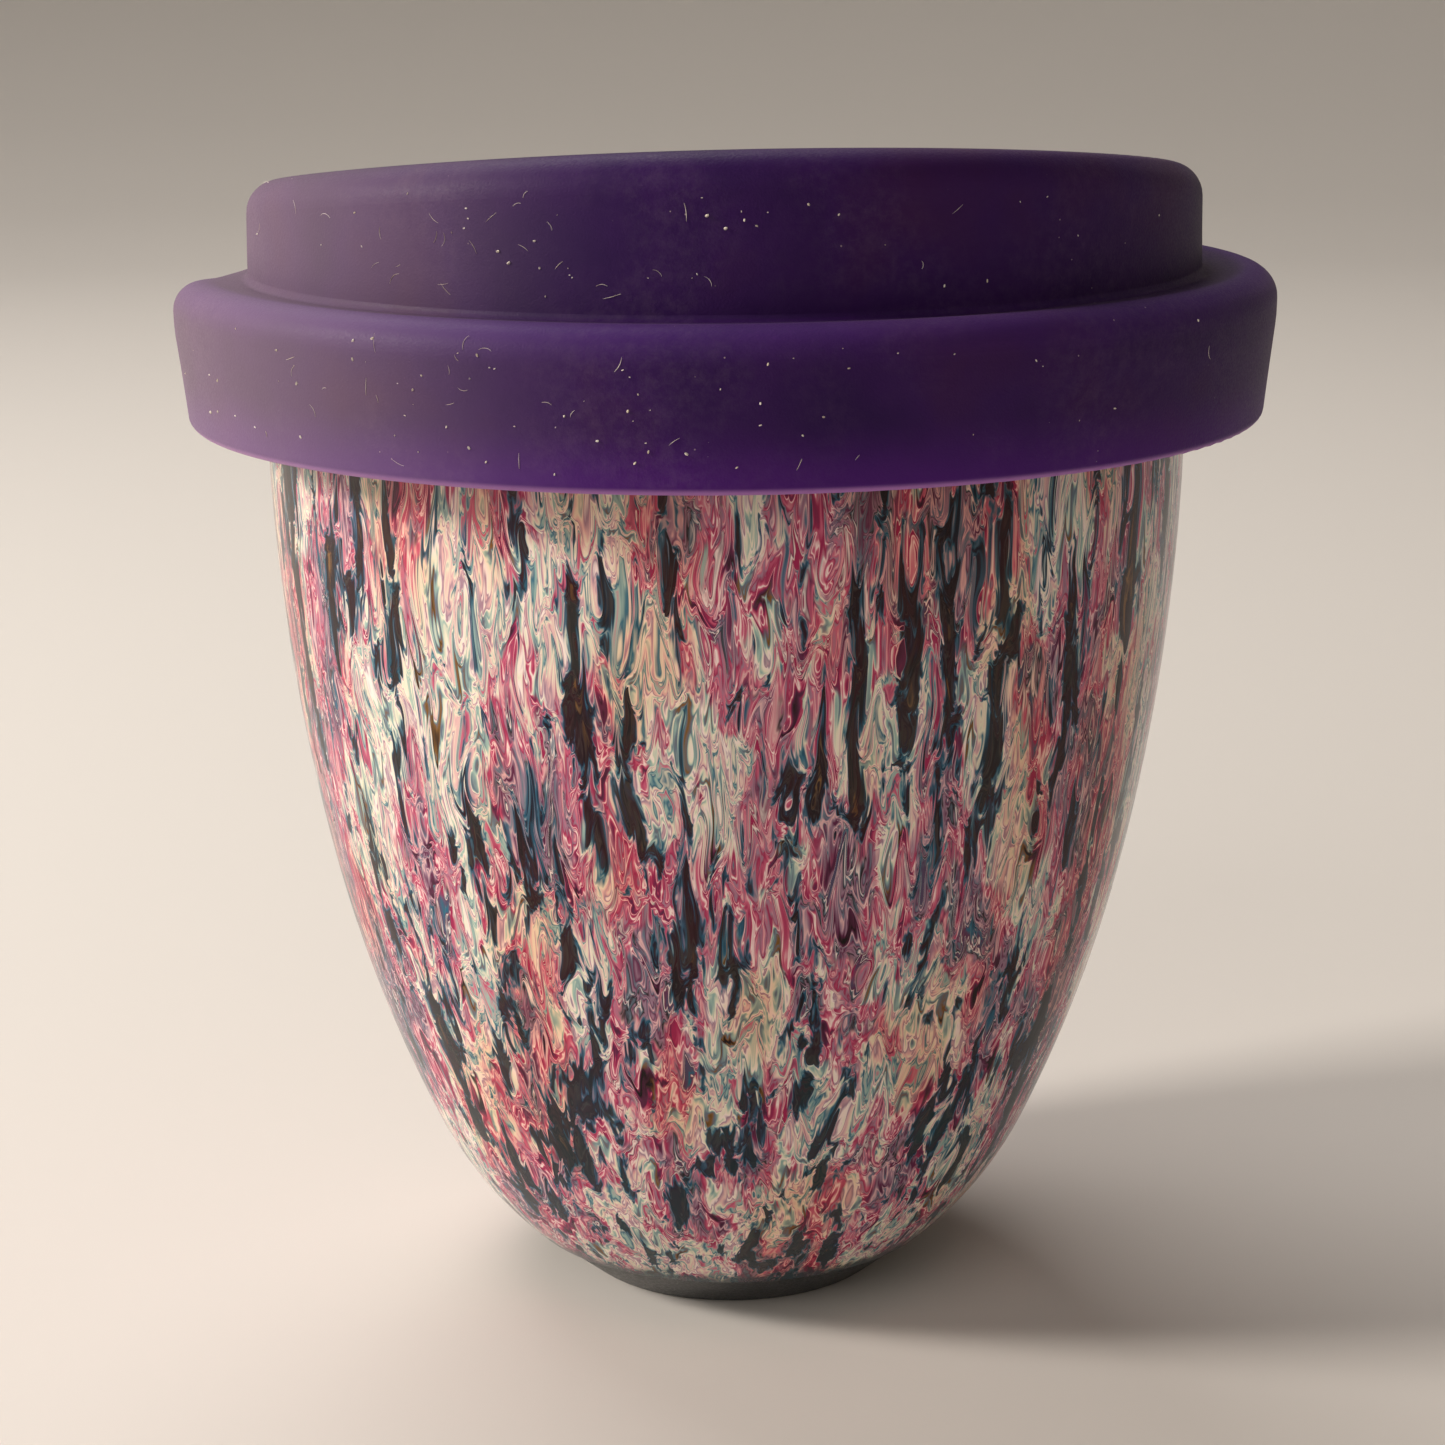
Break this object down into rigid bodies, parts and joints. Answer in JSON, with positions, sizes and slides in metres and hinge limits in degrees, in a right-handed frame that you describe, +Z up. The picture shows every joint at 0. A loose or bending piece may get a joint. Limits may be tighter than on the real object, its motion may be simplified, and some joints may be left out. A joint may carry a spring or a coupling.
{
  "type": "travel cup",
  "caption": "Egg-shaped glazed stoneware travel cup with a stepped, press-on silicone lid, a sloping mouthpiece and a hinged sip flap.",
  "frame": {"origin": "centre of the cup's underside, on the cup's axis, on the surface that it stands on", "axes": "+Z up along the cup's axis; -Y towards the drinking side, where the lid is highest; +X to the right as the drinking side is seen from the front"},
  "size_m": [0.1, 0.1, 0.1089],
  "materials": {
    "stoneware": null,
    "outer_glaze": null,
    "liner_glaze": null,
    "lid_silicone": "matte deep purple silicone",
    "flap_silicone": "matte deep purple silicone"
  },
  "bodies": {
    "cup": {"cup_body": "stoneware", "outer_glaze": "outer_glaze", "liner_glaze": "liner_glaze"},
    "lid": {"lid": "lid_silicone"},
    "flap": {"sip_flap": "flap_silicone"}
  },
  "joints": [
    {"name": "lid_lift", "type": "slide", "parent": "cup", "child": "lid", "axis": [0, 0, 1], "range_m": [0, 0.06]},
    {"name": "flap_hinge", "type": "hinge", "parent": "lid", "child": "flap", "pos_m": [0, -0.0266, 0.10557], "axis": [-1, 0, 0], "range_deg": [0, 160]}
  ]
}
